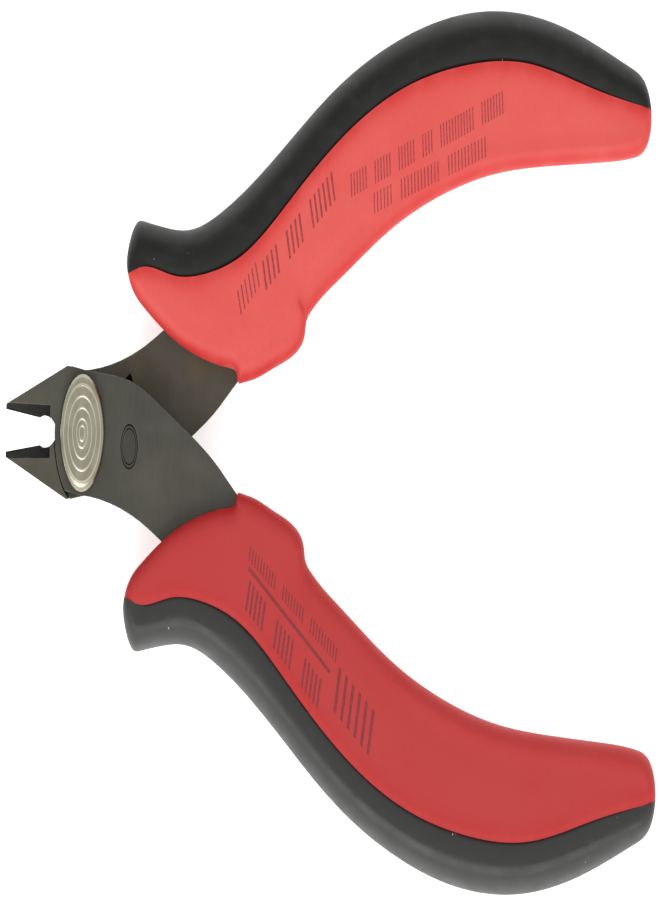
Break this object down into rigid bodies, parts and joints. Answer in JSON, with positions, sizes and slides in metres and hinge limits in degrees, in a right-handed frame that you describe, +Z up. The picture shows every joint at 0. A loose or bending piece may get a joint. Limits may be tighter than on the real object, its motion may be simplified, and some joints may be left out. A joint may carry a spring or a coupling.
{
  "type": "flush cutter",
  "caption": "Small angled-head flush cutter for electronics: two lapped steel blades on a ringed rivet, an internal return spring and two-part moulded handles.",
  "frame": {"origin": "on the surface that the tool lies on, under the middle of its length and width in the open rest pose", "axes": "+X from the jaws towards the handles' ends, +Y towards the handle of the rear blade, +Z up from the surface, towards the rivet's ringed head"},
  "size_m": [0.1246, 0.0642, 0.01],
  "materials": {
    "dark_steel": "dark phosphate, satin",
    "bright_steel": "fine turned",
    "spring_steel": "drawn wire",
    "red_moulding": "semi-matt moulded",
    "black_moulding": "soft satin moulded"
  },
  "bodies": {
    "front_half": {"front_blade": "dark_steel", "pivot_rivet": "bright_steel", "rivet_washer": "bright_steel", "stop_pin": "dark_steel", "lower_handle": "red_moulding", "lower_grip": "black_moulding"},
    "rear_half": {"rear_blade": "dark_steel", "return_spring": "spring_steel", "upper_handle": "red_moulding", "upper_grip": "black_moulding"}
  },
  "joints": [
    {"name": "squeeze", "type": "hinge", "parent": "front_half", "child": "rear_half", "pos_m": [-0.04757, 0, 0.005], "axis": [0, 0, -1], "range_deg": [0, 11.9], "stiffness_Nm_per_rad": 0.34, "springref_deg": -4.01, "deforming": ["return_spring"]}
  ]
}
